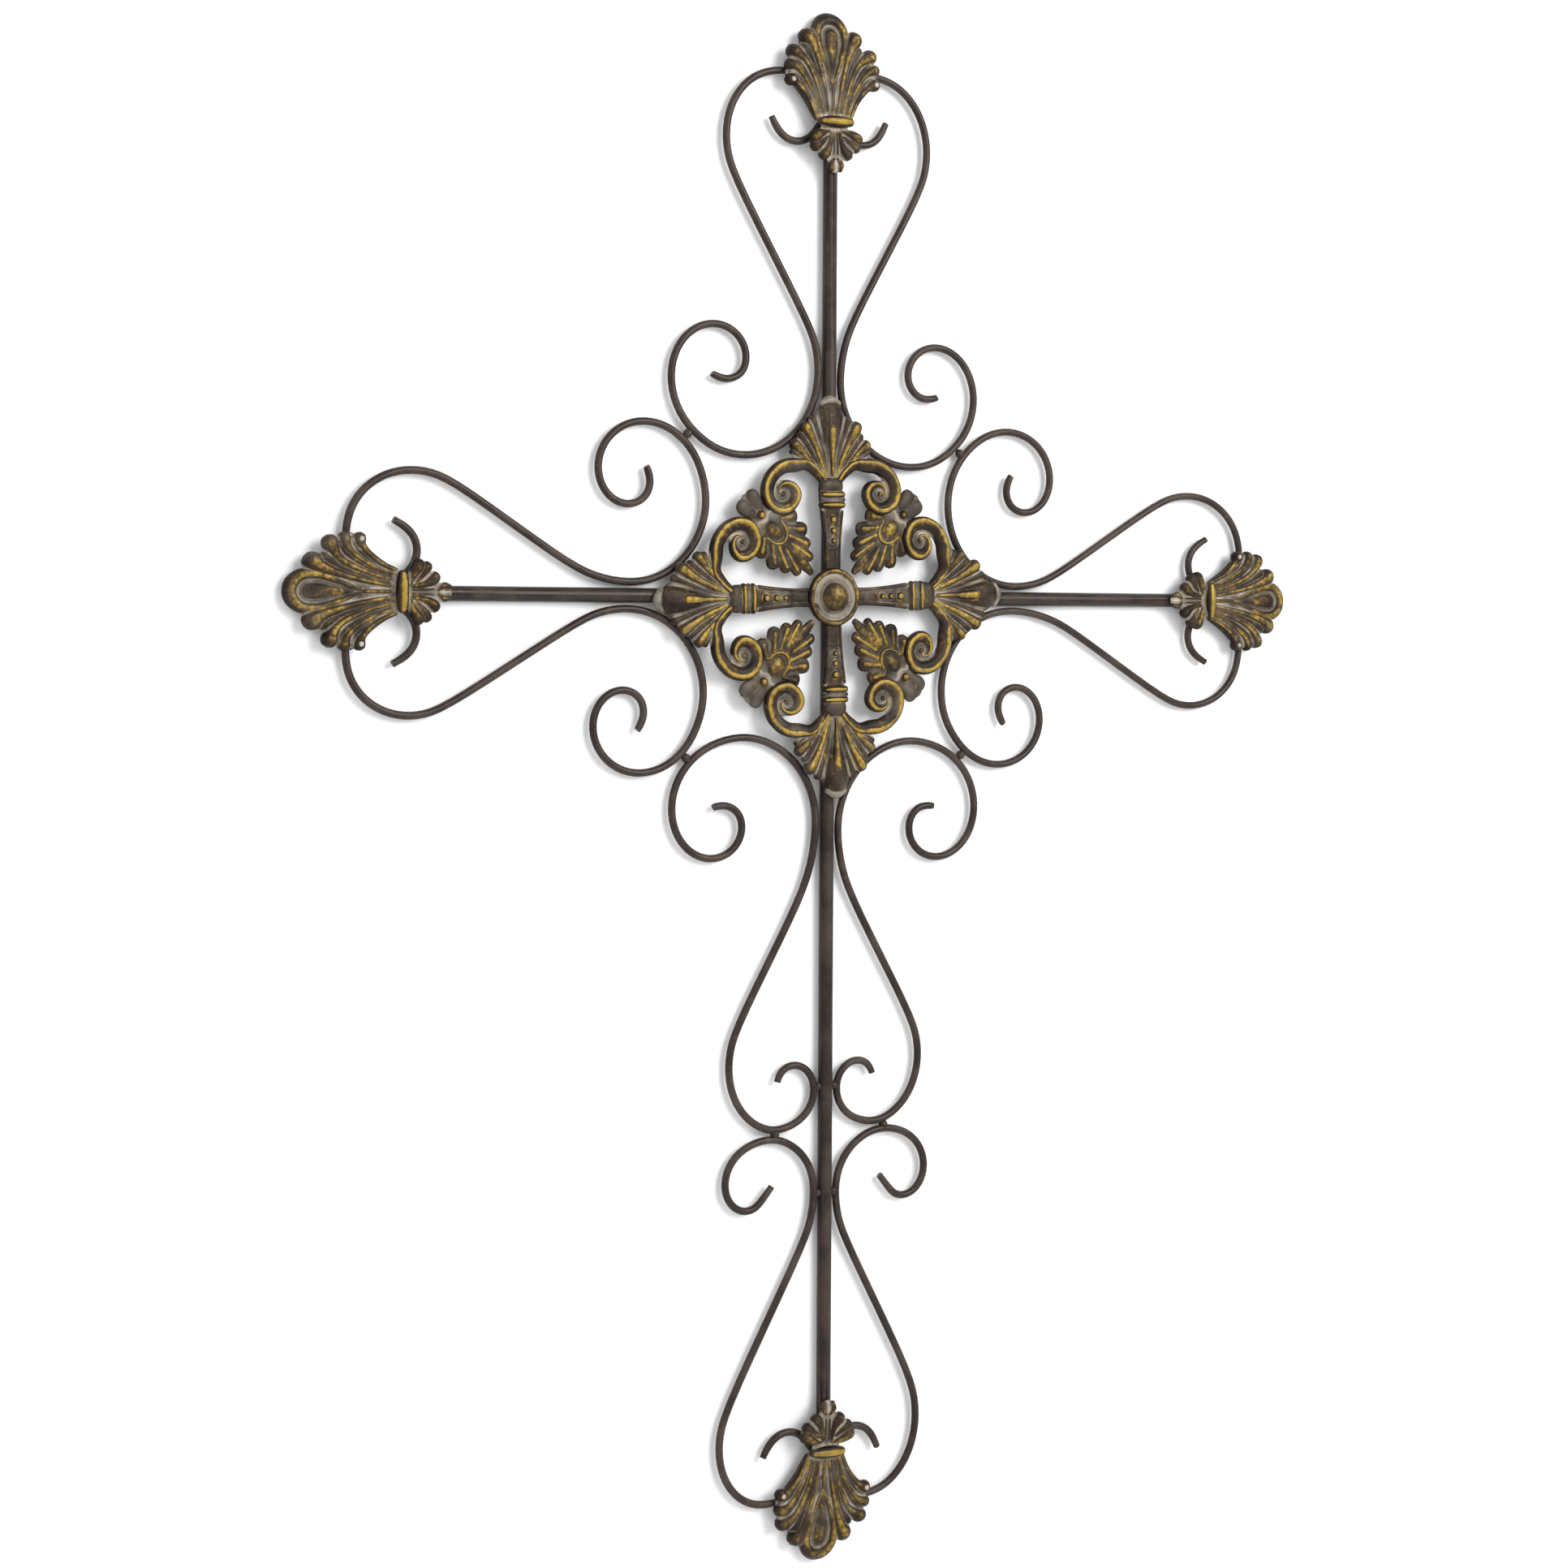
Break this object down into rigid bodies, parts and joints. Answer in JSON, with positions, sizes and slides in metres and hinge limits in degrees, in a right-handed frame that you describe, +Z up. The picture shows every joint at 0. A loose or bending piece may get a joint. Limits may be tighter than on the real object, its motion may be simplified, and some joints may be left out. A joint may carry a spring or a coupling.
{
  "type": "wrought iron wall cross",
  "caption": "Decorative wrought iron cross for a wall: round bars with bent scrollwork, palmette finials and a pierced medallion over the crossing.",
  "frame": {"origin": "on the wall, straight behind the crossing of the post and the arms", "axes": "+Z up along the post, +X to the right as seen from the front, the front faces -Y"},
  "size_m": [0.7595, 0.0195, 1.0189],
  "materials": {
    "bronzed_bar": "satin dark bronze",
    "bronzed_wire": "satin dark bronze",
    "gilded_casting": "dark bronze rubbed with gold on the ridges, pale wash in the hollows"
  },
  "bodies": {
    "root": {"post": "bronzed_bar", "left_arm": "bronzed_bar", "right_arm": "bronzed_bar", "left_arm_upper_scroll": "bronzed_wire", "left_arm_lower_scroll": "bronzed_wire", "right_arm_upper_scroll": "bronzed_wire", "right_arm_lower_scroll": "bronzed_wire", "upper_left_scroll": "bronzed_wire", "upper_right_scroll": "bronzed_wire", "lower_left_scroll": "bronzed_wire", "lower_right_scroll": "bronzed_wire", "foot_left_scroll": "bronzed_wire", "foot_right_scroll": "bronzed_wire", "top_bow": "bronzed_wire", "left_bow": "bronzed_wire", "right_bow": "bronzed_wire", "bottom_bow": "bronzed_wire", "top_finial": "gilded_casting", "left_finial": "gilded_casting", "right_finial": "gilded_casting", "bottom_finial": "gilded_casting", "medallion": "gilded_casting"}
  },
  "joints": []
}
